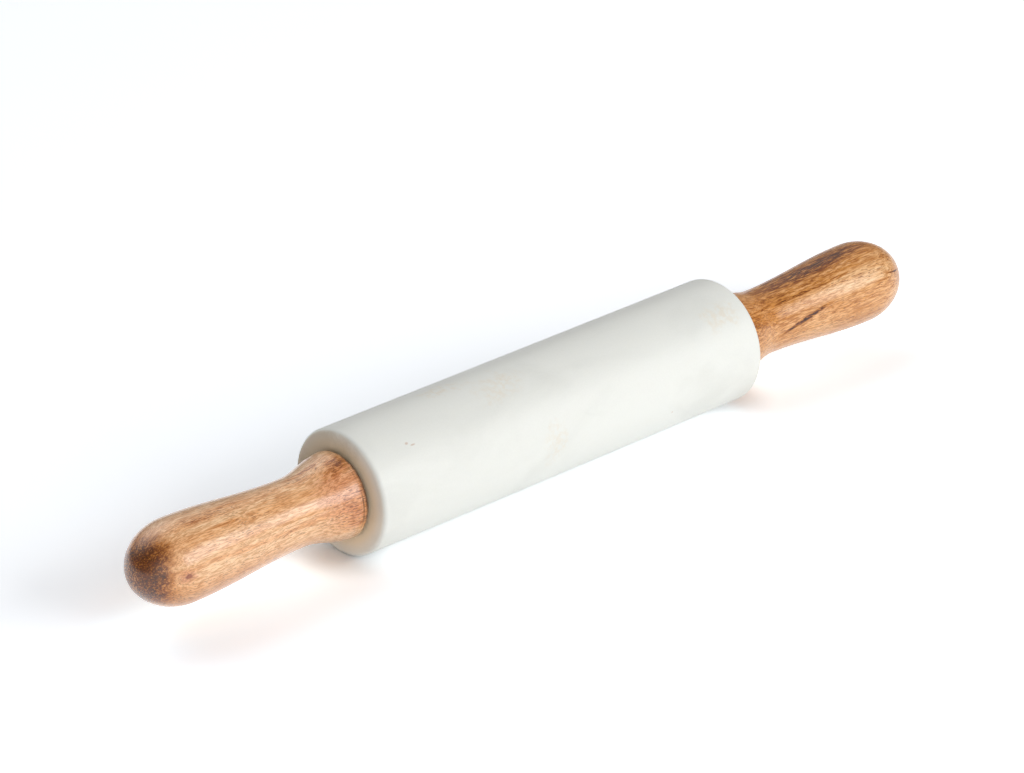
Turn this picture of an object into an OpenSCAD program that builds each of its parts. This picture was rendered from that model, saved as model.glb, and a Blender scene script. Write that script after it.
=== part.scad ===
// Marble rolling pin: a stone barrel that turns on a steel axle between two turned wooden handles.
// The pin lies along X with the middle of the barrel at the origin, so the axle is the X axis.
// Each end is built outward from the marble's end face, then set at the left or the right.

/* [Barrel] */
// Diameter of the marble barrel
barrel_d = 51; // [44:0.5:64]
// Length of the marble barrel
barrel_len = 203; // [120:1:320]
// Radius of the rounded rim at each end of the barrel
rim_r = 2; // [1:0.5:5]
// Diameter of the hole drilled through the marble
bore_d = 16; // [15:0.5:18]

/* [Handles] */
// Length of one wooden handle
handle_len = 100.7; // [85:0.1:130]
// Slit between the marble's end face and the foot of the handle
face_gap = 0.8; // [0.5:0.1:0.9]
// Diameter of the handle's foot, next to the marble
foot_d = 34.9; // [32:0.1:40]
// Diameter of the narrow waist, where the index finger closes
waist_d = 27.3; // [24:0.1:29]
// Distance from the foot to the waist
waist_at = 23; // [18:0.5:30]
// Diameter of the swell that fills the palm
swell_d = 33.7; // [30:0.1:38]
// Length of the rounded nose
nose_len = 21.5; // [16:0.5:28]
// Radius of the rounded edge of the foot
foot_r = 1.2; // [0.6:0.1:2]

/* [Axle and bushes] */
// Diameter of the steel axle inside the barrel
axle_d = 10; // [9:0.5:11]
// Diameter of the axle's stepped-down ends
stud_d = 8; // [6:0.5:8]
// Length of the bush that sits in the marble
bush_len = 20; // [12:1:30]
// Diameter of the bush's flange, which is the thrust face
flange_d = 22; // [19:0.5:22]
// Thickness of the bush's flange
flange_t = 1; // [0.8:0.1:1.2]
// Running clearance between the axle and the bush, on the radius
running_gap = 0.05; // [0.02:0.01:0.1]
// End play between the flange and the washer
end_play = 0.2; // [0.1:0.05:0.3]

/* [Handle fixing] */
// Outer diameter of the thrust washer
washer_d = 20; // [18:0.5:22]
// Thickness of the thrust washer
washer_t = 1.5; // [1:0.1:2]
// Outer diameter of the threaded insert in the handle
insert_d = 12; // [11:0.5:14]
// Length of the threaded insert
insert_len = 22; // [15:1:28]

/* [Hidden] */

$fn = 128;
RIGHT = 1;
LEFT = -1;

// Radii worked out from the diameters above
barrel_r = barrel_d / 2;
bore_r = bore_d / 2;
foot_outer_r = foot_d / 2;
waist_r = waist_d / 2;
swell_r = swell_d / 2;
axle_r = axle_d / 2;
stud_r = stud_d / 2;

// Places measured outward from the marble's end face
washer_at = flange_t + end_play;
insert_at = washer_at + washer_t;
nose_at = handle_len - nose_len;

// Recess in the foot, which hides the flange and the washer
recess_d = flange_d + 2;
recess_depth = insert_at - face_gap;
// Spare depth of the blind hole behind the insert
hole_spare = 5;
// Length of the stud inside the insert
stud_grip = insert_len - 2;
// Broken edges of the turned metal and nylon parts
edge_cut = 0.5;
// Rounded mouth of the hole in the marble
bore_edge = 0.5;
// Clearance of the washer's hole round the stud, on the radius
washer_clearance = 0.2;
// Overrun of a cutting tool past the face that it cuts
overrun = 1;

// Chords on each stretch of the handle's outline
edge_steps = 4;
cove_steps = 12;
swell_steps = 16;
nose_steps = 14;

// Half a cosine wave: it leaves 0 and reaches 1 with no slope, as a gouge leaves one level for another
function ease(t) = (1 - cos(180 * t)) / 2;

// Outline from one radius to another, both met without a corner
function eased_stretch(at_0, r_0, at_1, r_1, steps) =
    [for (i = [1 : steps]) let (t = i / steps) [r_0 + (r_1 - r_0) * ease(t), at_0 + (at_1 - at_0) * t]];

// Quarter of an ellipse from the full radius down to the axis, for the nose
function nose_stretch(at, r, len, steps) =
    [for (i = [1 : steps]) let (a = 90 * i / steps) [r * cos(a), at + len * sin(a)]];

// Quarter round from the flat face out to the full radius, for the edge of the foot
function edge_stretch(r, edge, steps) =
    [for (i = [0 : steps]) let (a = 90 * i / steps) [r - edge + edge * sin(a), edge - edge * cos(a)]];

// Half section of the handle: foot edge, cove down to the waist, swell up to the palm, nose
handle_outline = concat(
    [[0, 0]],
    edge_stretch(foot_outer_r, foot_r, edge_steps),
    eased_stretch(foot_r, foot_outer_r, waist_at, waist_r, cove_steps),
    eased_stretch(waist_at, waist_r, nose_at, swell_r, swell_steps),
    nose_stretch(nose_at, swell_r, nose_len, nose_steps)
);

// Sets what is built outward along +Z from the marble's face at one end of the pin
module at_end(side) {
    translate([side * barrel_len / 2, 0, 0])
        rotate([0, side * 90, 0])
            children();
}

// Barrel blank with rounded rims, turned in one outline
module barrel_blank() {
    half = barrel_len / 2;
    rotate_extrude()
        union() {
            translate([0, -half])
                square([barrel_r - rim_r, barrel_len]);
            translate([0, -half + rim_r])
                square([barrel_r, barrel_len - 2 * rim_r]);
            for (end = [-1, 1])
                translate([barrel_r - rim_r, end * (half - rim_r)])
                    circle(r = rim_r);
        }
}

// Cutter for the bore, with its mouths chamfered so that the stone doesn't chip
module bore_cutter() {
    half = barrel_len / 2;
    translate([0, 0, -half - overrun])
        cylinder(r = bore_r, h = barrel_len + 2 * overrun);
    for (end = [-1, 1])
        rotate([end * 90 - 90, 0, 0])
            translate([0, 0, half - bore_edge])
                cylinder(r1 = bore_r, r2 = bore_r + bore_edge + overrun, h = bore_edge + overrun);
}

// The turned outline starts along the top line, so nothing marks the line that the barrel rests on
module marble_barrel() {
    color([0.91, 0.92, 0.89])
        rotate([0, -90, 0])
            difference() {
                barrel_blank();
                bore_cutter();
            }
}

// Flanged nylon bush: its sleeve sits in the marble and its flange bears on the marble's face
module bush(side) {
    inner_r = axle_r + running_gap;
    color([0.93, 0.92, 0.87])
        at_end(side)
            rotate_extrude()
                polygon([
                    [inner_r, -bush_len],
                    [bore_r - edge_cut, -bush_len],
                    [bore_r, -bush_len + 2 * edge_cut],
                    [bore_r, -bore_edge],
                    [bore_r, 0],
                    [flange_d / 2, 0],
                    [flange_d / 2, flange_t],
                    [inner_r, flange_t],
                ]);
}

module left_bush() {
    bush(LEFT);
}

module right_bush() {
    bush(RIGHT);
}

// Steel axle: a shoulder near each end stops the washer, and the stud beyond it screws into the handle
module axle_rod() {
    shoulder_at = barrel_len / 2 + washer_at;
    stud_end = barrel_len / 2 + insert_at + stud_grip;
    color([0.72, 0.73, 0.75])
        rotate([0, 90, 0])
            rotate_extrude()
                polygon([
                    [0, -stud_end],
                    [stud_r - edge_cut, -stud_end],
                    [stud_r, -stud_end + edge_cut],
                    [stud_r, -shoulder_at],
                    [axle_r, -shoulder_at],
                    [axle_r, shoulder_at],
                    [stud_r, shoulder_at],
                    [stud_r, stud_end - edge_cut],
                    [stud_r - edge_cut, stud_end],
                    [0, stud_end],
                ]);
}

// Steel washer that takes the push of the hand between the handle and the turning flange
module washer(side) {
    color([0.78, 0.79, 0.80])
        at_end(side)
            translate([0, 0, washer_at])
                difference() {
                    cylinder(d = washer_d, h = washer_t);
                    translate([0, 0, -overrun])
                        cylinder(r = stud_r + washer_clearance, h = washer_t + 2 * overrun);
                }
}

module left_washer() {
    washer(LEFT);
}

module right_washer() {
    washer(RIGHT);
}

// Brass insert glued into the handle, which the axle's stud screws into
module insert(side) {
    color([0.80, 0.66, 0.36])
        at_end(side)
            translate([0, 0, insert_at])
                rotate_extrude()
                    polygon([
                        [stud_r, 0],
                        [insert_d / 2, 0],
                        [insert_d / 2, insert_len - edge_cut],
                        [insert_d / 2 - edge_cut, insert_len],
                        [stud_r, insert_len],
                    ]);
}

module left_insert() {
    insert(LEFT);
}

module right_insert() {
    insert(RIGHT);
}

// Handle turned from one piece of wood, with a recess in its foot and a blind hole for the insert
module handle(side) {
    color([0.72, 0.47, 0.28])
        at_end(side)
            translate([0, 0, face_gap])
                difference() {
                    rotate_extrude()
                        polygon(handle_outline);
                    translate([0, 0, -overrun])
                        cylinder(d = recess_d, h = recess_depth + overrun);
                    cylinder(d = insert_d, h = recess_depth + insert_len + hole_spare);
                }
}

module left_handle() {
    handle(LEFT);
}

module right_handle() {
    handle(RIGHT);
}

marble_barrel();
left_bush();
right_bush();
axle_rod();
left_washer();
right_washer();
left_insert();
right_insert();
left_handle();
right_handle();
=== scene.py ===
# %% [markdown]
# This is a rolling pin: a heavy marble barrel that turns on a steel axle between two turned wooden
# handles. The CAD model is loaded as a fixed frame, in metres, with the axle along X and the middle
# of the barrel at the origin. Every piece made here takes its place from that frame, so nothing has
# to be fitted by eye.

# %% Load the frame
import math

import bmesh
import bpy
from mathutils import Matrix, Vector


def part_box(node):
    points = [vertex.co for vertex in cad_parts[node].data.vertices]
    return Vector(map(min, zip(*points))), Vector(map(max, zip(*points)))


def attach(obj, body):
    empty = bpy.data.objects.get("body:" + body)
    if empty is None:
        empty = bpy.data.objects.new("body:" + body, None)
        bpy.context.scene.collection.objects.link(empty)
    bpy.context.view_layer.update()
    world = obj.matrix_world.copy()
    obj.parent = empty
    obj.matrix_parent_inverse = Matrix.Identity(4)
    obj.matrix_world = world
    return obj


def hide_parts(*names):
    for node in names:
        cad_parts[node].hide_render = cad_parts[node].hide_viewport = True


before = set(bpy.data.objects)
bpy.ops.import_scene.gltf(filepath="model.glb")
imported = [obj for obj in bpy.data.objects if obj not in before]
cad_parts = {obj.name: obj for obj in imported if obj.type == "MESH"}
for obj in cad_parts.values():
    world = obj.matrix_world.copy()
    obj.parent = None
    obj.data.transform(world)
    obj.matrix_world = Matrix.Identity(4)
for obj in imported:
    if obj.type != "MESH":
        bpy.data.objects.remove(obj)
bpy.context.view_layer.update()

MM = 0.001

# %% [markdown]
# The camera comes first, because everything else is judged through it. The pin was fitted by its
# outline, which gave the turn round the pin, the height of the view and a long lens from two metres
# away. The long lens is why the far handle looks nearly as large as the near one. The camera looks
# beside the pin's middle by a small shift of its own place, so the lens itself needs none.

# %% Camera
VIEW_TURN = math.radians(-43.47)
VIEW_HEIGHT = math.radians(25.19)
VIEW_DISTANCE = 2.001
ASIDE = -8.66 * MM
ABOVE = 10.52 * MM
SENSOR_WIDTH = 36.0
LENS = 180.52

towards_camera = Vector((
    math.sin(VIEW_TURN) * math.cos(VIEW_HEIGHT),
    -math.cos(VIEW_TURN) * math.cos(VIEW_HEIGHT),
    math.sin(VIEW_HEIGHT),
))
camera_right = Vector((math.cos(VIEW_TURN), math.sin(VIEW_TURN), 0))
camera_up = towards_camera.cross(camera_right)

camera_data = bpy.data.cameras.new("camera")
camera_data.lens = LENS
camera_data.sensor_width = SENSOR_WIDTH
camera_data.clip_start = 0.1
camera_data.clip_end = 20
camera = bpy.data.objects.new("camera", camera_data)
bpy.context.scene.collection.objects.link(camera)
camera.location = towards_camera * VIEW_DISTANCE + camera_right * ASIDE + camera_up * ABOVE
camera.rotation_mode = "QUATERNION"
camera.rotation_quaternion = (-towards_camera).to_track_quat("-Z", "Y")
bpy.context.scene.camera = camera
print("Camera at", [round(x, 3) for x in camera.location])

# %% [markdown]
# A material here is a small graph of nodes. These helpers keep the graphs short to read: one makes
# a node and sets its inputs, one does arithmetic, one makes noise on the piece's own coordinates,
# and one turns a number into colours. Object coordinates are used throughout, so a pattern sits in
# the stone or the wood itself and turns with it.

# %% Helpers for materials
def put(nodes, kind, settings=None, **inputs):
    """Makes a node, sets its settings, and sets or links its inputs by name or place."""
    node = nodes.new(kind)
    for name, value in (settings or {}).items():
        setattr(node, name, value)
    for name, value in inputs.items():
        key = int(name[1:]) if name[0] == "i" and name[1:].isdigit() else name.replace("_", " ")
        socket = node.inputs[key]
        if isinstance(value, bpy.types.NodeSocket):
            node.id_data.links.new(value, socket)
        else:
            socket.default_value = value
    return node


def calc(nodes, operation, *values, clamp=False):
    """One step of arithmetic between numbers or sockets."""
    settings = {"operation": operation, "use_clamp": clamp}
    inputs = {f"i{place}": value for place, value in enumerate(values)}
    return put(nodes, "ShaderNodeMath", settings, **inputs).outputs[0]


def stretched(nodes, scale, shift=(0, 0, 0), turn=(0, 0, 0)):
    """The piece's own coordinates, moved, turned and then scaled."""
    own = put(nodes, "ShaderNodeTexCoord").outputs["Object"]
    mapping = put(nodes, "ShaderNodeMapping", {"vector_type": "POINT"}, Vector=own)
    mapping.inputs["Location"].default_value = shift
    mapping.inputs["Rotation"].default_value = turn
    mapping.inputs["Scale"].default_value = scale
    return mapping.outputs[0]


def noise(nodes, vector, scale, detail=3.0, roughness=0.5, distortion=0.0):
    """Fractal noise from 0 to 1."""
    return put(
        nodes, "ShaderNodeTexNoise", Vector=vector, Scale=scale, Detail=detail,
        Roughness=roughness, Distortion=distortion,
    ).outputs[0]


def between(nodes, value, low, high, to_low=0.0, to_high=1.0):
    """Spreads the part of a value that lies between low and high over a new range, smoothly."""
    settings = {"interpolation_type": "SMOOTHSTEP", "clamp": True}
    return put(
        nodes, "ShaderNodeMapRange", settings, i0=value, i1=low, i2=high, i3=to_low, i4=to_high,
    ).outputs[0]


def colours(nodes, value, stops):
    """Colours along a value, each stop being (place, (red, green, blue))."""
    node = put(nodes, "ShaderNodeValToRGB", i0=value)
    ramp = node.color_ramp
    while len(ramp.elements) < len(stops):
        ramp.elements.new(0.5)
    for element, (place, colour) in zip(ramp.elements, stops):
        element.position = place
        element.color = (*colour, 1)
    return node.outputs[0]


def mixed(nodes, share, first, second, blend="MIX"):
    """Two colours mixed by a share from 0 to 1."""
    settings = {"data_type": "RGBA", "blend_type": blend, "clamp_factor": True}
    node = nodes.new("ShaderNodeMix")
    for name, value in settings.items():
        setattr(node, name, value)
    for place, value in ((0, share), (6, first), (7, second)):
        if isinstance(value, bpy.types.NodeSocket):
            node.id_data.links.new(value, node.inputs[place])
        else:
            node.inputs[place].default_value = value if place == 0 else (*value, 1)
    return node.outputs[2]


def from_screen(red, green, blue):
    """A colour as it is read off a screen, from 0 to 255, as the linear light that a shader wants."""
    return tuple(
        c / 12.92 if c <= 0.04045 else ((c + 0.055) / 1.055) ** 2.4
        for c in (red / 255, green / 255, blue / 255)
    )


def new_material(name):
    """An empty material with a Principled shader, and its nodes."""
    material = bpy.data.materials.new(name)
    material.use_nodes = True
    nodes = material.node_tree.nodes
    nodes.clear()
    shader = nodes.new("ShaderNodeBsdfPrincipled")
    output = nodes.new("ShaderNodeOutputMaterial")
    material.node_tree.links.new(shader.outputs[0], output.inputs[0])
    return material, nodes, shader


def join(shader, **inputs):
    """Links sockets to the shader's inputs, or sets plain values on them."""
    for name, value in inputs.items():
        socket = shader.inputs[name.replace("_", " ")]
        if isinstance(value, bpy.types.NodeSocket):
            shader.id_data.links.new(value, socket)
        else:
            socket.default_value = value


def bump(nodes, height, strength, distance):
    """A normal that follows a height field, in metres."""
    return put(nodes, "ShaderNodeBump", Height=height, Strength=strength, Distance=distance).outputs[0]


# %% [markdown]
# Stone and wood both carry single marks, such as a stain, a knot or a dark streak, that no even
# pattern gives. A mark is a soft ellipsoid set into the material at a real place, in millimetres.
# Its edge is made ragged with noise, so it doesn't read as a painted spot. Because it has depth,
# it looks right from every side.

# %% Marks in a material
def mark(nodes, centre, half_size, lean=0.0, ragged=0.5, edge_noise=None, softness=0.45):
    """A share from 0 to 1 inside an ellipsoid. lean turns it in the X-Z plane, in degrees."""
    own = put(nodes, "ShaderNodeTexCoord").outputs["Object"]
    mapping = put(nodes, "ShaderNodeMapping", {"vector_type": "TEXTURE"}, Vector=own)
    mapping.inputs["Location"].default_value = [c * MM for c in centre]
    mapping.inputs["Rotation"].default_value = (0, math.radians(-lean), 0)
    mapping.inputs["Scale"].default_value = [h * MM for h in half_size]
    distance = put(nodes, "ShaderNodeVectorMath", {"operation": "LENGTH"}, i0=mapping.outputs[0])
    pushed = distance.outputs["Value"]
    if edge_noise is not None:
        push = calc(nodes, "MULTIPLY", calc(nodes, "SUBTRACT", edge_noise, 0.5), ragged * 2)
        pushed = calc(nodes, "ADD", pushed, push)
    return between(nodes, pushed, 1 - softness, 1 + softness, 1.0, 0.0)


# %% [markdown]
# The barrel is honed white marble. Up close it isn't plain white: soft grey clouds, a few faint
# warm stains, hairline veins that barely show, and the sparkle of small crystals. All of it is very
# low in contrast, because the stone looks almost even from a step away. On the end faces the stone
# beside the handle is warmer: partly oil that has crept into it, partly a painted warm reflection
# of the wood and painted shade next to the handle. The upper back of the near end face is darkened
# with painted shade from the handle. A little light enters the stone and comes out beside where it
# went in, which softens the edges, so the shader gets some subsurface scattering with a radius of
# a few millimetres.

# %% Marble
WARM_STAINS = [
    ((-27, -9, 24), (9, 6, 4)), ((87, -16, 19.6), (8, 5, 5)), ((-12.5, -25, 0), (5, 4, 6)),
    ((-48.8, 1, 25), (8, 4, 3)), ((30, 20, -12), (11, 6, 7)), ((-70, 10, -22), (7, 5, 4)),
]
RUST_SPECKS = [
    ((-81.8, -16, 19.9), (0.7, 0.5, 0.5)), ((-79.6, -17, 19.0), (1.1, 0.3, 0.35)),
    ((52, -24, -8), (0.5, 0.4, 0.4)), ((12, 18, 18), (0.6, 0.4, 0.4)),
]
# Painted shade from the handle on the upper back and the rear of the near end face.
FACE_SHADE_PATCHES = [((-101, 13, 15), (4, 17, 15)), ((-101, 22, -4), (4, 7, 14))]
FACE_AT = 100.8 * MM
FACE_FULL = 101.45 * MM
# The end faces are warmer beside the handle: partly oil in the stone, partly a painted warm reflection of
# the wood and painted shade next to the handle.
OIL_AND_GLOW_OUT_TO = 24.6 * MM
OIL_AND_GLOW_FADES_OVER = 7 * MM
VEIN_SHARE = 0.2
WARM_STAIN_SHARE = 0.55
RUST_SHARE = 0.45
FACE_SHADE_SHARE = 0.5


def marble_material():
    material, nodes, shader = new_material("honed_marble")
    base = from_screen(242, 243, 237)
    cloud_grey = from_screen(236, 237, 231)
    warm_stain = from_screen(236, 226, 208)
    oiled_face_and_wood_glow = from_screen(250, 230, 198)
    vein_grey = from_screen(218, 219, 213)
    rust = from_screen(196, 150, 112)
    painted_face_shade = from_screen(186, 164, 130)

    place = stretched(nodes, (0.55, 1, 1), shift=(0.013, 0.02, 0.05), turn=(0.3, 0.2, 0.5))
    clouds = between(nodes, noise(nodes, place, 34, 4, 0.55, 0.8), 0.42, 0.68)
    colour = mixed(nodes, clouds, base, cloud_grey)

    vein_field = noise(nodes, place, 21, 5, 0.62, 1.6)
    distance = calc(nodes, "ABSOLUTE", calc(nodes, "SUBTRACT", vein_field, 0.5))
    veins = between(nodes, distance, 0.0, 0.014, 1.0, 0.0)
    vein_where = between(nodes, noise(nodes, place, 13, 2), 0.52, 0.66)
    vein_share = calc(nodes, "MULTIPLY", calc(nodes, "MULTIPLY", veins, vein_where), VEIN_SHARE)
    colour = mixed(nodes, vein_share, colour, vein_grey)

    own = stretched(nodes, (1, 1, 1))
    stain_edge = noise(nodes, own, 160, 4, 0.65)
    stain_grain = between(nodes, noise(nodes, own, 420, 3, 0.6), 0.35, 0.65)
    for centre, half_size in WARM_STAINS:
        patch = mark(nodes, centre, half_size, ragged=1.6, edge_noise=stain_edge, softness=0.7)
        share = calc(nodes, "MULTIPLY", calc(nodes, "MULTIPLY", patch, stain_grain), WARM_STAIN_SHARE)
        colour = mixed(nodes, share, colour, warm_stain)
    for centre, half_size in RUST_SPECKS:
        speck = mark(nodes, centre, half_size, ragged=0.8, edge_noise=stain_edge)
        colour = mixed(nodes, calc(nodes, "MULTIPLY", speck, RUST_SHARE), colour, rust)
    along = put(nodes, "ShaderNodeSeparateXYZ", i0=own).outputs[0]
    on_face = between(nodes, calc(nodes, "ABSOLUTE", along), FACE_AT, FACE_FULL)
    across = put(
        nodes, "ShaderNodeVectorMath", {"operation": "MULTIPLY"}, i0=own, i1=(0, 1, 1),
    ).outputs[0]
    from_axle = put(nodes, "ShaderNodeVectorMath", {"operation": "LENGTH"}, i0=across).outputs["Value"]
    # Painted warm reflection of the wood and painted shade beside the handle, together with the oil in the
    # stone.
    oil_and_glow_by_handle = between(nodes, from_axle, OIL_AND_GLOW_OUT_TO - OIL_AND_GLOW_FADES_OVER, OIL_AND_GLOW_OUT_TO, 1.0, 0.12)
    colour = mixed(nodes, calc(nodes, "MULTIPLY", on_face, oil_and_glow_by_handle), colour, oiled_face_and_wood_glow)
    # Painted shade from the handle on the near end face, darkest at its upper back.
    for centre, half_size in FACE_SHADE_PATCHES:
        patch = mark(nodes, centre, half_size, ragged=0.8, edge_noise=stain_edge, softness=0.6)
        share = calc(nodes, "MULTIPLY", calc(nodes, "MULTIPLY", patch, on_face), FACE_SHADE_SHARE)
        colour = mixed(nodes, share, colour, painted_face_shade)

    crystals = noise(nodes, own, 1500, 2, 0.6)
    crystal_shade = between(nodes, crystals, 0.2, 0.8, 0.97, 1.0)
    shade = put(nodes, "ShaderNodeCombineColor", i0=crystal_shade, i1=crystal_shade, i2=crystal_shade)
    colour = mixed(nodes, 1.0, colour, shade.outputs[0], "MULTIPLY")

    smears = noise(nodes, stretched(nodes, (0.4, 1, 1)), 55, 4, 0.6)
    roughness = between(nodes, smears, 0.25, 0.75, 0.38, 0.52)
    grain = calc(nodes, "MULTIPLY", noise(nodes, own, 900, 3, 0.6), 0.5)
    waviness = calc(nodes, "ADD", grain, noise(nodes, own, 90, 2, 0.5))
    join(
        shader, Base_Color=colour, Roughness=roughness, IOR=1.5,
        Normal=bump(nodes, waviness, 0.25, 0.00008),
        Subsurface_Weight=0.12, Subsurface_Scale=0.003, Subsurface_Radius=(1.0, 0.9, 0.75),
    )
    return material


marble = marble_material()
print("Made", marble.name, "with", len(marble.node_tree.nodes), "nodes")

# %% [markdown]
# The handles are turned from a warm, open-pored hardwood and oiled. Several things make it read as
# wood. The grain runs along the handle but wanders, so every field below is read at coordinates
# that a slow noise has pushed a little sideways. Growth rings are shells round the heart of the
# tree, which lies beside the handle, and the turned shape cuts them into long soft streaks. Pores
# are short tubes along the grain: dark dashes on the side and dots on the nose, thick in some
# places and thin in others. They come from Voronoi cells drawn out along the grain, because a cell
# has one centre, and so a pore has a clear shape where noise would leave a smear.

# %% Helpers for wood
WANDER = 3.0 * MM


def wandering(nodes, drift):
    """The wood's coordinates, pushed sideways by a slow noise so that the grain isn't ruled."""
    slow = stretched(nodes, (0.4, 1, 1), shift=drift)
    push = put(nodes, "ShaderNodeTexNoise", Vector=slow, Scale=75.0, Detail=3.0, Roughness=0.55)
    centred = put(
        nodes, "ShaderNodeVectorMath", {"operation": "SUBTRACT"}, i0=push.outputs["Color"],
        i1=(0.5, 0.5, 0.5),
    ).outputs[0]
    own = stretched(nodes, (1, 1, 1), shift=drift)
    return put(
        nodes, "ShaderNodeVectorMath", {"operation": "MULTIPLY_ADD"}, i0=centred,
        i1=(0.0, WANDER, WANDER), i2=own,
    ).outputs[0]


def drawn_out(nodes, vector, along):
    """Coordinates squeezed along X, which draws every pattern out along the grain."""
    return put(
        nodes, "ShaderNodeVectorMath", {"operation": "MULTIPLY"}, i0=vector, i1=(along, 1.0, 1.0),
    ).outputs[0]


def ring_field(nodes, vector, heart, per_metre):
    """Growth rings round a heart that runs along X, as soft bands from 0 to 1."""
    moved = put(
        nodes, "ShaderNodeVectorMath", {"operation": "ADD"}, i0=vector, i1=(0.0, heart[0], heart[1]),
    ).outputs[0]
    flat = drawn_out(nodes, moved, 0.12)
    radius = put(nodes, "ShaderNodeVectorMath", {"operation": "LENGTH"}, i0=flat).outputs["Value"]
    return put(
        nodes, "ShaderNodeTexNoise", {"noise_dimensions": "1D"},
        W=calc(nodes, "MULTIPLY", radius, per_metre), Scale=1.0, Detail=2.0,
    ).outputs[0]


def dashes(nodes, vector, width, length, turn, radius):
    """Short tubes along the grain, scattered at random: 1 inside one and 0 outside it."""
    turned = put(nodes, "ShaderNodeMapping", {"vector_type": "POINT"}, Vector=vector)
    turned.inputs["Rotation"].default_value = turn
    cells = put(
        nodes, "ShaderNodeTexVoronoi", Vector=drawn_out(nodes, turned.outputs[0], width / length),
        Scale=1 / width,
    )
    core = calc(nodes, "MULTIPLY", radius, 0.45)
    return between(nodes, cells.outputs["Distance"], core, radius, 1.0, 0.0)


# %% [markdown]
# One graph serves both handles. Its body is a number that walks along a ramp from pale to almost
# black wood. A deeper mark, such as the dark nose, adds to that number and to the size of the
# pores, so the grain goes on through it. Some deeper marks are painted light: the near nose is
# partly end grain that has drunk more oil and partly painted shade, because it faces away from the
# softbox; bands along the top of both handles and the underside of the near one are painted shade;
# and one paler mark on the far handle is partly a painted highlight. The foot's edge carries
# painted shade where it meets the marble, and beside that edge a line left by the turning tool
# shows here and there. Each handle reads another place in the tree and has its own marks.

# %% Wood
PALE_WOOD = from_screen(252, 208, 162)
TAN_WOOD = from_screen(242, 180, 124)
GOLD_WOOD = from_screen(214, 140, 70)
BROWN_WOOD = from_screen(150, 82, 20)
BLACK_BROWN = from_screen(70, 32, 4)
PORE_BROWN = from_screen(124, 56, 16)
RED_WOOD = from_screen(212, 128, 92)
NOSE_GOLD = from_screen(134, 76, 6)
RED_KNOT = from_screen(138, 62, 34)
FOOT_LINE_AT = 2.4 * MM
RINGS_PER_METRE = 240.0
FINE_PORE = (0.6 * MM, 3.0 * MM)
LONG_PORE = (0.9 * MM, 8.0 * MM)
LONG_PORE_SIZE = 0.8
FIBRE_LIGHT = (1.16, 1.19, 1.22)
FIBRE_DARK = (0.74, 0.61, 0.47)


def deepened_and_shaded(nodes, marks, edge_noise):
    """The sum of the deeper marks, painted shade and a painted highlight among them, each (centre, half
    size, lean, amount).
    """
    depth = 0.0
    for centre, half_size, lean, amount in marks:
        spread = mark(nodes, centre, half_size, lean, ragged=1.0, edge_noise=edge_noise, softness=0.5)
        depth = calc(nodes, "ADD", depth, calc(nodes, "MULTIPLY", spread, amount))
    return depth


def foot_shade_and_lines(nodes, foot_at, streaks, broad):
    """Painted shade at the foot's edge where it meets the marble, the line turned beside it, and the finer
    lines that the tool leaves.
    """
    along = put(nodes, "ShaderNodeSeparateXYZ", i0=stretched(nodes, (1, 1, 1))).outputs[0]
    from_foot = calc(nodes, "SUBTRACT", calc(nodes, "ABSOLUTE", along), foot_at)
    # Painted shade along the foot's edge, where it meets the marble.
    edge = between(nodes, from_foot, 0.5 * MM, 2.0 * MM, 1.0, 0.0)
    off_line = calc(nodes, "ABSOLUTE", calc(nodes, "SUBTRACT", from_foot, FOOT_LINE_AT))
    turned_line = between(nodes, off_line, 0.1 * MM, 0.6 * MM, 0.7, 0.0)
    turned_line = calc(nodes, "MULTIPLY", turned_line, between(nodes, broad, 0.42, 0.56, 0.2, 1.0))
    edge = calc(
        nodes, "MULTIPLY", calc(nodes, "MAXIMUM", edge, turned_line),
        between(nodes, streaks, 0.3, 0.65, 0.35, 1.0),
    )
    tool = noise(nodes, stretched(nodes, (1, 0.02, 0.02)), 1500, 1, 0.5)
    lines = calc(
        nodes, "MULTIPLY", between(nodes, tool, 0.54, 0.62),
        between(nodes, from_foot, 2.4 * MM, 4.6 * MM, 0.7, 0.0),
    )
    lines = calc(nodes, "MULTIPLY", lines, between(nodes, broad, 0.42, 0.58))
    return calc(nodes, "MAXIMUM", edge, lines)


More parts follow.
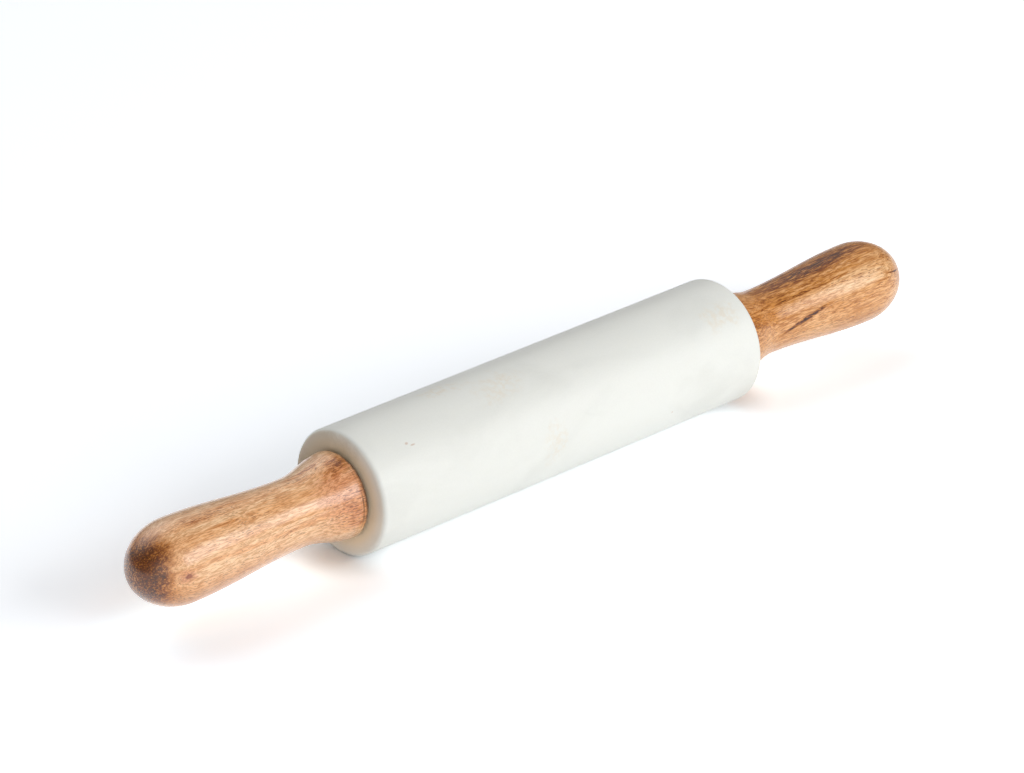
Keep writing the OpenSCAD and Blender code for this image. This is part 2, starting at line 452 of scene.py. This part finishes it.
def wood_material(name, drift, heart, tone, cast, lines, gloss, deeper, tints, foot_at):
    """Oiled hardwood. tone darkens the body and cast colours it, lines is how strongly the long
    streaks show, gloss is the oil's film, deeper are deeper marks, painted shade and a painted
    highlight among them, and tints are spots of another colour, each (centre, half size, colour, share)."""
    material, nodes, shader = new_material(name)
    grain = wandering(nodes, drift)
    fibres = noise(nodes, drawn_out(nodes, grain, 0.08), 2300, 2, 0.75)
    streaks = noise(nodes, drawn_out(nodes, grain, 0.06), 460, 3, 0.62)
    broad = noise(nodes, drawn_out(nodes, grain, 0.25), 70, 3, 0.55)
    flecks = noise(nodes, drawn_out(nodes, grain, 0.11), 1500, 2, 0.7)
    rings = ring_field(nodes, grain, heart, RINGS_PER_METRE)
    ragged_edge = calc(nodes, "MULTIPLY", calc(nodes, "ADD", streaks, flecks), 0.5)
    speckle = between(nodes, flecks, 0.36, 0.64, 0.5, 1.5)
    # depth carries the deeper marks, painted shade and a painted highlight among them.
    depth = calc(nodes, "MULTIPLY", deepened_and_shaded(nodes, deeper, ragged_edge), speckle)

    body = calc(nodes, "ADD", calc(nodes, "MULTIPLY", rings, 0.20), calc(nodes, "MULTIPLY", broad, 0.20))
    body = calc(nodes, "ADD", body, calc(nodes, "MULTIPLY", streaks, lines))
    body = calc(nodes, "ADD", body, calc(nodes, "MULTIPLY", flecks, 0.22))
    body = calc(nodes, "ADD", body, calc(nodes, "ADD", depth, tone))
    colour = colours(
        nodes, body,
        [(0.42, PALE_WOOD), (0.56, TAN_WOOD), (0.70, GOLD_WOOD), (0.84, BROWN_WOOD), (1.0, BLACK_BROWN)],
    )
    colour = mixed(nodes, 1.0, colour, cast, "MULTIPLY")
    for centre, half_size, tint, share in tints:
        spread = mark(nodes, centre, half_size, ragged=1.6, edge_noise=ragged_edge)
        colour = mixed(nodes, calc(nodes, "MULTIPLY", spread, share), colour, tint)

    grit = calc(nodes, "ADD", calc(nodes, "MULTIPLY", fibres, 0.65), calc(nodes, "MULTIPLY", flecks, 0.35))
    fibre_colour = mixed(nodes, between(nodes, grit, 0.41, 0.59), FIBRE_LIGHT, FIBRE_DARK)
    colour = mixed(nodes, 1.0, colour, fibre_colour, "MULTIPLY")

    crowding = noise(nodes, drawn_out(nodes, grain, 0.2), 150, 2, 0.5)
    pore_size = calc(
        nodes, "ADD", between(nodes, crowding, 0.36, 0.64, 0.10, 0.38), calc(nodes, "MULTIPLY", depth, 0.5),
    )
    fine_pores = dashes(nodes, grain, *FINE_PORE, (0, 0.06, 0.10), pore_size)
    long_pore_size = calc(nodes, "MULTIPLY", pore_size, LONG_PORE_SIZE)
    long_pores = dashes(nodes, grain, *LONG_PORE, (0, -0.05, -0.03), long_pore_size)
    pores = calc(nodes, "MAXIMUM", fine_pores, long_pores)
    pores = calc(nodes, "MULTIPLY", pores, between(nodes, streaks, 0.3, 0.7, 0.35, 0.85))
    colour = mixed(nodes, pores, colour, PORE_BROWN)
    # Painted shade at the foot's edge, and the turned and tool lines beside it.
    colour = mixed(nodes, foot_shade_and_lines(nodes, foot_at, streaks, broad), colour, BLACK_BROWN)

    roughness = calc(
        nodes, "ADD", between(nodes, fibres, 0.25, 0.75, 0.24, 0.36), calc(nodes, "MULTIPLY", pores, 0.2),
    )
    height = calc(
        nodes, "SUBTRACT", calc(nodes, "MULTIPLY", fibres, 0.3), calc(nodes, "MULTIPLY", pores, 0.8),
    )
    join(
        shader, Base_Color=colour, Roughness=roughness, IOR=1.5,
        Normal=bump(nodes, height, 0.35, 0.0001),
        Coat_Weight=gloss, Coat_Roughness=0.2, Coat_IOR=1.5,
    )
    return material


NEAR_DARK_MARKS_AND_SHADE = [
    # The first five marks darken the near nose: partly end grain that has drunk more oil, partly painted
    # shade where the nose faces away from the softbox.
    ((-210, 1, 2), (16, 20, 20), 0, 0.36), ((-199, -4, 9), (9, 9, 8), 0, 0.15),
    ((-203, -6, -12), (12, 13, 9), 0, 0.12), ((-199, -11, -3), (7, 6, 8), 0, 0.08),
    ((-199, -9, 3), (5, 6, 9), 0, 0.10), ((-107.5, -5, 16.8), (4.5, 4, 3), 0, 0.20),
    ((-112, -7.5, 14.5), (4.5, 2.5, 3), 0, 0.14), ((-118.5, 0.8, 14.6), (11, 1.1, 2.2), 9, 0.20),
    # (-135, -4, 13.5) is painted shade along the top, standing in for the dim room that the oiled wood
    # mirrors there.
    ((-135, -4, 13.5), (26, 3.6, 3), 0, 0.05), ((-176, -5, 15.8), (9, 1.0, 1.4), 0, 0.12),
    ((-160, -2.5, 15.4), (11, 0.9, 1.2), 0, 0.12), ((-166, -9.5, 13.0), (9, 0.7, 0.9), 0, 0.12),
    # (-155, 8, 12.5) is painted shade along the top, standing in for the dim room that the oiled wood
    # mirrors there.
    ((-155, 8, 12.5), (44, 4.5, 5), 0, 0.03), ((-107.8, -17, -2), (3.4, 2, 4), 0, 0.12),
    # (-165, -9, -12.5) is painted shade along the underside of the near handle.
    ((-165, -9, -12.5), (45, 5, 4), 0, 0.08), ((-108, -6, 4), (9, 16, 16), 0, 0.07),
]
NEAR_TINTS = [
    ((-110, -13, 8), (12, 9, 12), RED_WOOD, 0.4), ((-189.3, -15.6, 1.3), (3.2, 3, 2.4), RED_WOOD, 0.5),
    ((-189.0, -15.8, 1.5), (1.1, 2.5, 0.8), RED_KNOT, 0.8),
    ((-199, -5, 7), (8, 8, 10), NOSE_GOLD, 0.4),
    ((-168, -10, -12), (34, 9, 8), GOLD_WOOD, 0.6),
]
FAR_DARK_MARKS_SHADE_AND_HIGHLIGHT = [
    # (150, 4.5, 15) is painted shade along the top of the far handle, standing in for the dim room mirrored
    # there.
    ((157, -1.5, 15.5), (36, 3.2, 3.0), 3, 0.19), ((150, 4.5, 15), (60, 6, 6), 2, 0.12),
    ((142, -6, 12.6), (50, 3.8, 3.8), 3, 0.09), ((120, -9.9, 10.9), (7, 1.4, 0.4), -3, 0.18),
    ((137, -9.0, 10.65), (11, 1.4, 0.4), 2.6, 0.16), ((158, -9.9, 11.9), (12, 1.4, 0.4), 3.9, 0.14),
    ((138.5, -14, 1.6), (12.5, 3, 0.8), 13, 0.38), ((192, -12.8, 6.5), (5.5, 4, 0.3), -13, 0.40),
    # (169, -13, 8.5), with a negative amount, lightens the far handle: partly paler wood, partly a painted
    # highlight.
    ((169, -13, 8.5), (20, 4.5, 4), 5, -0.09), ((108, -12, 8), (7, 9, 9), 0, 0.10),
    ((131, -12, 6), (15, 4, 6), 3, 0.06),
]
FAR_TINTS = [((116, -10, 10), (10, 6, 5), GOLD_WOOD, 0.4)]
foot_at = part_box("right_handle")[0].x
near_wood = wood_material(
    "near_handle_wood", drift=(0.31, 0.12, 0.05), heart=(-0.06, 0.09), tone=0.08,
    cast=(0.98, 1.0, 1.02), lines=0.20, gloss=0.85, deeper=NEAR_DARK_MARKS_AND_SHADE, tints=NEAR_TINTS, foot_at=foot_at,
)
far_wood = wood_material(
    "far_handle_wood", drift=(0.87, 0.43, 0.29), heart=(-0.39, -0.27), tone=0.13,
    cast=(0.92, 1.00, 1.03), lines=0.33, gloss=0.25, deeper=FAR_DARK_MARKS_SHADE_AND_HIGHLIGHT, tints=FAR_TINTS, foot_at=foot_at,
)
print("Made", near_wood.name, "and", far_wood.name, "with", len(near_wood.node_tree.nodes), "nodes")

# %% [markdown]
# The axle, washers, inserts and bushes are almost wholly hidden, and only a sliver of a washer or a
# flange can be seen in the slit beside the marble. They keep their CAD shapes and get the finish
# that such pieces have: turned steel and brass with fine tool rings, and plain nylon.

# %% Metal and nylon
def turned_metal(name, colour, roughness):
    """Metal off the lathe: rings run round the X axis, so they change with X and with the radius."""
    material, nodes, shader = new_material(name)
    rings = noise(nodes, stretched(nodes, (1, 0.05, 0.05)), 4000, 2, 0.6)
    shade = between(nodes, rings, 0.3, 0.7, 0.88, 1.0)
    shade_colour = put(nodes, "ShaderNodeCombineColor", i0=shade, i1=shade, i2=shade).outputs[0]
    join(
        shader, Base_Color=mixed(nodes, 1.0, colour, shade_colour, "MULTIPLY"), Metallic=1.0,
        Roughness=between(nodes, rings, 0.3, 0.7, roughness - 0.06, roughness + 0.08),
        Normal=bump(nodes, rings, 0.3, 0.00002),
    )
    return material


def nylon_material():
    material, nodes, shader = new_material("natural_nylon")
    mottle = noise(nodes, stretched(nodes, (1, 1, 1)), 600, 3, 0.6)
    colour = mixed(nodes, mottle, from_screen(236, 233, 220), from_screen(224, 220, 205))
    join(
        shader, Base_Color=colour, Roughness=between(nodes, mottle, 0.3, 0.7, 0.42, 0.55),
        Normal=bump(nodes, mottle, 0.2, 0.00003), IOR=1.53,
    )
    return material


steel = turned_metal("turned_steel", from_screen(205, 207, 211), 0.28)
brass = turned_metal("turned_brass", from_screen(206, 172, 104), 0.30)
nylon = nylon_material()

HARDWARE = {
    "axle_rod": steel, "left_washer": steel, "right_washer": steel,
    "left_insert": brass, "right_insert": brass, "left_bush": nylon, "right_bush": nylon,
}
for node_name, finish in HARDWARE.items():
    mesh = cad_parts[node_name].data
    mesh.materials.clear()
    mesh.materials.append(finish)
print("Dressed", len(HARDWARE), "hidden pieces")

# %% [markdown]
# The barrel and the handles come off a lathe, so their shape is one rule: a radius for each place
# along the axis. Geometry Nodes can hold such a rule. A flat grid is rolled up round the X axis:
# one direction of the grid becomes the turn and the other the place along the axis, and arithmetic
# nodes give the radius there. The rows are closer together near the ends, where the outline curves
# fastest. Merge by Distance closes the seam and the two poles, and a boolean drills the holes
# afterwards, in the order in which a turner works. A second merge joins the double points that
# the drill leaves where it cuts the end faces.

# %% Helpers for turned shapes
MERGE_WITHIN = 0.002 * MM
HOLE_STEPS = 96
SHARP_FROM = math.radians(38)


def new_tree(name, sizes):
    """A Geometry Nodes tree with a named number input for each size, and its input node's sockets."""
    tree = bpy.data.node_groups.new(name, "GeometryNodeTree")
    tree.interface.new_socket("Geometry", in_out="INPUT", socket_type="NodeSocketGeometry")
    for size, (kind, value) in sizes.items():
        socket = tree.interface.new_socket(size, in_out="INPUT", socket_type=kind)
        if value is not None:
            socket.default_value = value
    tree.interface.new_socket("Geometry", in_out="OUTPUT", socket_type="NodeSocketGeometry")
    return tree, tree.nodes.new("NodeGroupInput").outputs


def rolled_grid(nodes, rows, steps_round, length, start, radius_at):
    """Rolls a grid into a turned solid. radius_at(along) gives the radius at a distance from the start."""
    columns = calc(nodes, "ADD", steps_round, 1.0)
    grid = put(
        nodes, "GeometryNodeMeshGrid", Size_X=1.0, Size_Y=1.0, Vertices_X=columns, Vertices_Y=rows,
    )
    flat = put(nodes, "ShaderNodeSeparateXYZ", i0=nodes.new("GeometryNodeInputPosition").outputs[0])
    turn = calc(nodes, "MULTIPLY", calc(nodes, "ADD", flat.outputs[0], 0.5), 2 * math.pi)
    last_row = calc(nodes, "SUBTRACT", rows, 1.0)
    share = calc(nodes, "ADD", flat.outputs[1], 0.5)
    row = calc(nodes, "ROUND", calc(nodes, "MULTIPLY", share, last_row))
    from_last = calc(nodes, "SUBTRACT", last_row, row)
    inner_share = calc(
        nodes, "DIVIDE", calc(nodes, "SUBTRACT", row, 1.0), calc(nodes, "SUBTRACT", last_row, 2.0),
        clamp=True,
    )
    wave = calc(nodes, "COSINE", calc(nodes, "MULTIPLY", inner_share, math.pi))
    along = calc(
        nodes, "MULTIPLY", calc(nodes, "MULTIPLY", calc(nodes, "SUBTRACT", 1.0, wave), 0.5), length,
    )
    on_outline = calc(
        nodes, "MULTIPLY", calc(nodes, "MINIMUM", row, 1.0), calc(nodes, "MINIMUM", from_last, 1.0),
    )
    radius = calc(nodes, "MULTIPLY", radius_at(along), on_outline)
    place = put(
        nodes, "ShaderNodeCombineXYZ", i0=calc(nodes, "ADD", start, along),
        i1=calc(nodes, "MULTIPLY", radius, calc(nodes, "SINE", turn)),
        i2=calc(nodes, "MULTIPLY", radius, calc(nodes, "COSINE", turn)),
    ).outputs[0]
    rolled = put(nodes, "GeometryNodeSetPosition", Geometry=grid.outputs[0], Position=place).outputs[0]
    return put(nodes, "GeometryNodeMergeByDistance", Geometry=rolled, Distance=MERGE_WITHIN).outputs[0]


def drilled(nodes, solid, holes):
    """Takes cylinders along X out of a solid. Each hole is (radius, middle along X, length)."""
    difference = put(
        nodes, "GeometryNodeMeshBoolean", {"operation": "DIFFERENCE", "solver": "EXACT"}, i0=solid,
    )
    for radius, middle, length in holes:
        rod = put(nodes, "GeometryNodeMeshCylinder", Vertices=HOLE_STEPS, Radius=radius, Depth=length)
        centre = put(nodes, "ShaderNodeCombineXYZ", i0=middle).outputs[0]
        laid = put(
            nodes, "GeometryNodeTransform", Geometry=rod.outputs[0], Translation=centre,
            Rotation=(0, math.pi / 2, 0),
        ).outputs[0]
        difference.id_data.links.new(laid, difference.inputs[1])
    return put(
        nodes, "GeometryNodeMergeByDistance", Geometry=difference.outputs[0], Distance=MERGE_WITHIN,
    ).outputs[0]


def finished(tree, nodes, solid, material):
    """Shades the curved faces smooth, keeps real corners sharp, and gives the material."""
    angle = nodes.new("GeometryNodeInputMeshEdgeAngle").outputs[0]
    corner = calc(nodes, "GREATER_THAN", angle, SHARP_FROM)
    smooth = put(
        nodes, "GeometryNodeSetShadeSmooth", {"domain": "FACE"}, Geometry=solid, Shade_Smooth=True,
    ).outputs[0]
    creased = put(
        nodes, "GeometryNodeSetShadeSmooth", {"domain": "EDGE"}, Geometry=smooth, Selection=corner,
        Shade_Smooth=False,
    ).outputs[0]
    real = put(nodes, "GeometryNodeRealizeInstances", Geometry=creased).outputs[0]
    dressed = put(nodes, "GeometryNodeSetMaterial", Geometry=real, Material=material).outputs[0]
    output = nodes.new("NodeGroupOutput")
    tree.links.new(dressed, output.inputs[0])


def made_by(tree, name, values):
    """Runs a tree on an empty mesh with the given inputs and returns the result as a plain object."""
    maker = bpy.data.objects.new(name + "_maker", bpy.data.meshes.new(name + "_maker"))
    bpy.context.scene.collection.objects.link(maker)
    modifier = maker.modifiers.new("turning", "NODES")
    modifier.node_group = tree
    for socket in tree.interface.items_tree:
        if socket.in_out == "INPUT" and socket.name in values:
            modifier[socket.identifier] = values[socket.name]
    bpy.context.view_layer.update()
    evaluated = maker.evaluated_get(bpy.context.evaluated_depsgraph_get())
    mesh = bpy.data.meshes.new_from_object(evaluated)
    bpy.data.objects.remove(maker)
    mesh.name = name
    work = bmesh.new()
    work.from_mesh(mesh)
    bmesh.ops.recalc_face_normals(work, faces=work.faces)
    open_edges = sum(1 for edge in work.edges if not edge.is_manifold)
    if work.calc_volume(signed=True) < 0:
        bmesh.ops.reverse_faces(work, faces=work.faces)
    volume = work.calc_volume()
    work.to_mesh(mesh)
    work.free()
    piece = bpy.data.objects.new(name, mesh)
    bpy.context.scene.collection.objects.link(piece)
    print(f"{name}: {len(mesh.polygons)} faces, {open_edges} open edges, {volume * 1e6:.1f} cm3")
    return piece


# %% [markdown]
# The barrel is a straight cylinder with a rim rounded over by hand at each end. In the rule, the
# radius is the full one less what the quarter round takes away within the rim's width of each end.
# The bore is drilled right through, for the bushes.

# %% Marble barrel
RIM_RADIUS = 2.0 * MM
BORE_RADIUS = 8 * MM
DRILL_SPARE = 10 * MM
barrel_low, barrel_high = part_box("marble_barrel")
barrel_radius = barrel_high.z
barrel_length = barrel_high.x - barrel_low.x


def rounded_off(nodes, distance, edge):
    """What a quarter round takes off the radius, at a distance in from the end face."""
    short = calc(nodes, "SUBTRACT", edge, calc(nodes, "MINIMUM", distance, edge))
    square = calc(
        nodes, "SUBTRACT", calc(nodes, "MULTIPLY", edge, edge), calc(nodes, "MULTIPLY", short, short),
    )
    height = calc(nodes, "SQRT", calc(nodes, "MAXIMUM", square, 0.0))
    return calc(nodes, "SUBTRACT", edge, height)


def barrel_tree():
    tree, sizes = new_tree("barrel_turning", {
        "Radius": ("NodeSocketFloat", barrel_radius),
        "Length": ("NodeSocketFloat", barrel_length),
        "Rim radius": ("NodeSocketFloat", RIM_RADIUS),
        "Bore radius": ("NodeSocketFloat", BORE_RADIUS),
        "Rows": ("NodeSocketInt", 180),
        "Steps round": ("NodeSocketInt", 192),
        "Material": ("NodeSocketMaterial", None),
    })
    nodes = tree.nodes
    start = calc(nodes, "MULTIPLY", sizes["Length"], -0.5)

    def radius_at(along):
        left = rounded_off(nodes, along, sizes["Rim radius"])
        right = rounded_off(nodes, calc(nodes, "SUBTRACT", sizes["Length"], along), sizes["Rim radius"])
        return calc(nodes, "SUBTRACT", calc(nodes, "SUBTRACT", sizes["Radius"], left), right)

    solid = rolled_grid(nodes, sizes["Rows"], sizes["Steps round"], sizes["Length"], start, radius_at)
    through = calc(nodes, "ADD", sizes["Length"], DRILL_SPARE)
    hollow = drilled(nodes, solid, [(sizes["Bore radius"], 0.0, through)])
    finished(tree, nodes, hollow, sizes["Material"])
    return tree


barrel = made_by(barrel_tree(), "turned_barrel", {"Material": marble})
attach(barrel, "barrel")
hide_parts("marble_barrel")

# %% [markdown]
# A handle starts as a square blank. The turner leaves a foot against the marble, cuts a cove for
# the index finger, lets the wood swell again to fill the palm, and rounds the nose. The rule says
# the same: half a cosine wave takes the radius from foot to waist and another from waist to swell,
# both arriving without a corner, and a quarter of an ellipse closes the nose. The recess that hides
# the washer and the blind hole for the insert are drilled into the foot. One tree makes both
# handles, and the left one is the same solid turned end for end.

# %% Handles
FOOT_EDGE = 1.2 * MM
WAIST_RADIUS = 13.65 * MM
WAIST_AT = 23 * MM
SWELL_RADIUS = 16.85 * MM
NOSE_LENGTH = 21.5 * MM
RECESS_RADIUS = 12 * MM
HOLE_RADIUS = 6 * MM
HOLE_SPARE = 5 * MM
handle_low, handle_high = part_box("right_handle")
insert_low, insert_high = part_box("right_insert")


def eased(nodes, along, start, end):
    """Half a cosine wave from 0 before start to 1 after end."""
    share = calc(
        nodes, "DIVIDE", calc(nodes, "SUBTRACT", along, start), calc(nodes, "SUBTRACT", end, start),
        clamp=True,
    )
    wave = calc(nodes, "COSINE", calc(nodes, "MULTIPLY", share, math.pi))
    return calc(nodes, "MULTIPLY", calc(nodes, "SUBTRACT", 1.0, wave), 0.5)


def handle_tree():
    tree, sizes = new_tree("handle_turning", {
        "Foot at": ("NodeSocketFloat", handle_low.x),
        "Length": ("NodeSocketFloat", handle_high.x - handle_low.x),
        "Foot radius": ("NodeSocketFloat", handle_high.z),
        "Foot edge": ("NodeSocketFloat", FOOT_EDGE),
        "Waist radius": ("NodeSocketFloat", WAIST_RADIUS),
        "Waist at": ("NodeSocketFloat", WAIST_AT),
        "Swell radius": ("NodeSocketFloat", SWELL_RADIUS),
        "Nose length": ("NodeSocketFloat", NOSE_LENGTH),
        "Recess depth": ("NodeSocketFloat", insert_low.x - handle_low.x),
        "Hole depth": ("NodeSocketFloat", insert_high.x + HOLE_SPARE - handle_low.x),
        "Turned end for end": ("NodeSocketFloat", 0.0),
        "Rows": ("NodeSocketInt", 160),
        "Steps round": ("NodeSocketInt", 160),
        "Material": ("NodeSocketMaterial", None),
    })
    nodes = tree.nodes
    nose_at = calc(nodes, "SUBTRACT", sizes["Length"], sizes["Nose length"])

    def radius_at(along):
        cove = calc(
            nodes, "MULTIPLY", calc(nodes, "SUBTRACT", sizes["Waist radius"], sizes["Foot radius"]),
            eased(nodes, along, sizes["Foot edge"], sizes["Waist at"]),
        )
        swell = calc(
            nodes, "MULTIPLY", calc(nodes, "SUBTRACT", sizes["Swell radius"], sizes["Waist radius"]),
            eased(nodes, along, sizes["Waist at"], nose_at),
        )
        side = calc(nodes, "ADD", calc(nodes, "ADD", sizes["Foot radius"], cove), swell)
        into_nose = calc(
            nodes, "DIVIDE", calc(nodes, "SUBTRACT", along, nose_at), sizes["Nose length"], clamp=True,
        )
        left_over = calc(nodes, "SUBTRACT", 1.0, calc(nodes, "MULTIPLY", into_nose, into_nose))
        nose = calc(nodes, "SQRT", calc(nodes, "MAXIMUM", left_over, 0.0))
        edge = rounded_off(nodes, along, sizes["Foot edge"])
        return calc(nodes, "SUBTRACT", calc(nodes, "MULTIPLY", side, nose), edge)

    solid = rolled_grid(
        nodes, sizes["Rows"], sizes["Steps round"], sizes["Length"], sizes["Foot at"], radius_at,
    )
    recess_length = calc(nodes, "MULTIPLY", sizes["Recess depth"], 2.0)
    hole_length = calc(nodes, "MULTIPLY", sizes["Hole depth"], 2.0)
    hollow = drilled(nodes, solid, [
        (RECESS_RADIUS, sizes["Foot at"], recess_length),
        (HOLE_RADIUS, sizes["Foot at"], hole_length),
    ])
    turned = put(
        nodes, "GeometryNodeTransform", Geometry=hollow,
        Rotation=put(nodes, "ShaderNodeCombineXYZ", i2=sizes["Turned end for end"]).outputs[0],
    ).outputs[0]
    finished(tree, nodes, turned, sizes["Material"])
    return tree


turning = handle_tree()
HANDLES = {"left": (math.pi, near_wood), "right": (0.0, far_wood)}
for end, (turned_by, wood) in HANDLES.items():
    values = {"Turned end for end": turned_by, "Material": wood}
    handle = made_by(turning, f"turned_{end}_handle", values)
    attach(handle, "handles")
    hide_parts(f"{end}_handle")

# %% [markdown]
# The pin lies on a plain white worktop. The floor is an ordinary matt white that takes the pin's
# soft shadow. Where the camera or a reflection sees it, a second matt coat is added, so it looks
# two thirds brighter. That keeps the open floor white, as in a picture exposed for white paper,
# while the shadow stays in proportion, and it adds no light to the pin. In the picture the paper
# is plain white under the handles, where oiled wood would throw a peach light, and the shadow is
# deep only close under the ends of the barrel. So the second coat is cooler and stronger under the
# handles, and thin under the ends of the barrel.

# %% Worktop
FLOOR_SIZE = 8.0
COAT_COLOUR = (0.60, 0.635, 0.68)
COAT_UNDER_WOOD = (0.64, 0.86, 1.0)
UNDER_WOOD = [((-158, 0, -25.5), (58, 24, 20)), ((158, 0, -25.5), (58, 24, 20))]
UNDER_STONE = [((-103, 0, -25.5), (13, 16, 20)), ((103, 0, -25.5), (13, 16, 20))]
NO_COAT = (0, 0, 0)
floor_mesh = bpy.data.meshes.new("worktop")
half_floor = FLOOR_SIZE / 2
floor_at = barrel_low.z
floor_corners = [(-1, -1), (1, -1), (1, 1), (-1, 1)]
floor_mesh.from_pydata(
    [(x * half_floor, y * half_floor, floor_at) for x, y in floor_corners], [], [(0, 1, 2, 3)],
)
floor = bpy.data.objects.new("worktop", floor_mesh)
bpy.context.scene.collection.objects.link(floor)


def seen_directly(nodes):
    """1 for a ray from the camera, off a gloss or through glass, and 0 for light that lights."""
    path = nodes.new("ShaderNodeLightPath")
    mirrored = calc(nodes, "MAXIMUM", path.outputs["Is Glossy Ray"], path.outputs["Is Transmission Ray"])
    return calc(nodes, "MAXIMUM", path.outputs["Is Camera Ray"], mirrored)


floor_material, floor_nodes, floor_shader = new_material("matt_white_worktop")
floor_tone = noise(floor_nodes, stretched(floor_nodes, (1, 1, 1)), 3, 2, 0.5)
join(
    floor_shader,
    Base_Color=mixed(floor_nodes, floor_tone, (0.93, 0.94, 0.955), (0.945, 0.955, 0.97)),
    Roughness=0.9, Specular_IOR_Level=0.1,
)
coat_colour = COAT_COLOUR
for centre, half_size in UNDER_WOOD:
    below_wood = mark(floor_nodes, centre, half_size, softness=0.4)
    coat_colour = mixed(floor_nodes, below_wood, coat_colour, COAT_UNDER_WOOD)
for centre, half_size in UNDER_STONE:
    below_stone = mark(floor_nodes, centre, half_size, softness=0.8)
    coat_colour = mixed(floor_nodes, below_stone, coat_colour, NO_COAT)
coat_colour = mixed(floor_nodes, seen_directly(floor_nodes), NO_COAT, coat_colour)
second_coat = put(floor_nodes, "ShaderNodeBsdfDiffuse", Color=coat_colour)
floor_sum = put(floor_nodes, "ShaderNodeAddShader", i0=floor_shader.outputs[0], i1=second_coat.outputs[0])
floor_output = next(n for n in floor_nodes if n.bl_idname == "ShaderNodeOutputMaterial")
floor_material.node_tree.links.new(floor_sum.outputs[0], floor_output.inputs[0])
floor_mesh.materials.append(floor_material)

# %% [markdown]
# The highlights on the handles mirror back to one softbox in front of the pin and to its right,
# rather low. The barrel is nearly even from its top to its foot, a little darker on top, and its
# near end is clearly darker. So the room is dim and even, with four wide soft windows in it, and
# the softbox is a lamp in front of them. The two strongest windows stand high behind the pin, for
# the top of the stone, and low in front of it on the left, for the near end face. A window is a
# lobe in the world: its brightness falls off with the angle from its middle.

# %% Light
WINDOW_FALLOFF = 8.0
EVEN_SKY = 0.10
WINDOWS = [(0, 50, 0.42), (322, 10, 1.45), (120, 45, 0.30), (180, 45, 1.75)]
SOFTBOX_TURN, SOFTBOX_RISE = 21, 24
SOFTBOX_AWAY = 1.7
SOFTBOX_WIDTH, SOFTBOX_HEIGHT = 1.6, 0.80
SOFTBOX_POWER = 16.5


def facing(azimuth, elevation):
    """The direction to a point of the room, in degrees from -Y towards +X and up from the floor."""
    turn, rise = math.radians(azimuth), math.radians(elevation)
    return Vector((math.sin(turn) * math.cos(rise), -math.cos(turn) * math.cos(rise), math.sin(rise)))


world = bpy.data.worlds.new("soft_studio")
bpy.context.scene.world = world
world.use_nodes = True
world_nodes = world.node_tree.nodes
world_nodes.clear()
looking = put(world_nodes, "ShaderNodeTexCoord").outputs["Generated"]
sky_strength = EVEN_SKY
for azimuth, elevation, strength in WINDOWS:
    towards = put(
        world_nodes, "ShaderNodeVectorMath", {"operation": "DOT_PRODUCT"}, i0=looking,
        i1=tuple(facing(azimuth, elevation)),
    ).outputs["Value"]
    lobe = calc(world_nodes, "POWER", calc(world_nodes, "MAXIMUM", towards, 0.0), WINDOW_FALLOFF)
    sky_strength = calc(world_nodes, "MULTIPLY_ADD", lobe, strength, sky_strength)
sky = put(world_nodes, "ShaderNodeBackground", Color=(1, 1, 1, 1), Strength=sky_strength)
world_out = world_nodes.new("ShaderNodeOutputWorld")
world.node_tree.links.new(sky.outputs[0], world_out.inputs[0])


def soft_lamp(name, direction, distance, width, height, power):
    """An oblong lamp that looks at the pin."""
    lamp_data = bpy.data.lights.new(name, "AREA")
    lamp_data.shape = "RECTANGLE"
    lamp_data.size = width
    lamp_data.size_y = height
    lamp_data.energy = power
    lamp = bpy.data.objects.new(name, lamp_data)
    bpy.context.scene.collection.objects.link(lamp)
    lamp.location = direction * distance
    lamp.rotation_mode = "QUATERNION"
    lamp.rotation_quaternion = (-direction).to_track_quat("-Z", "Y")


soft_lamp(
    "right_front_softbox", facing(SOFTBOX_TURN, SOFTBOX_RISE), SOFTBOX_AWAY, SOFTBOX_WIDTH,
    SOFTBOX_HEIGHT, SOFTBOX_POWER,
)
bpy.context.scene.view_settings.view_transform = "Standard"
print("Lit by", len(WINDOWS), "windows and one softbox")
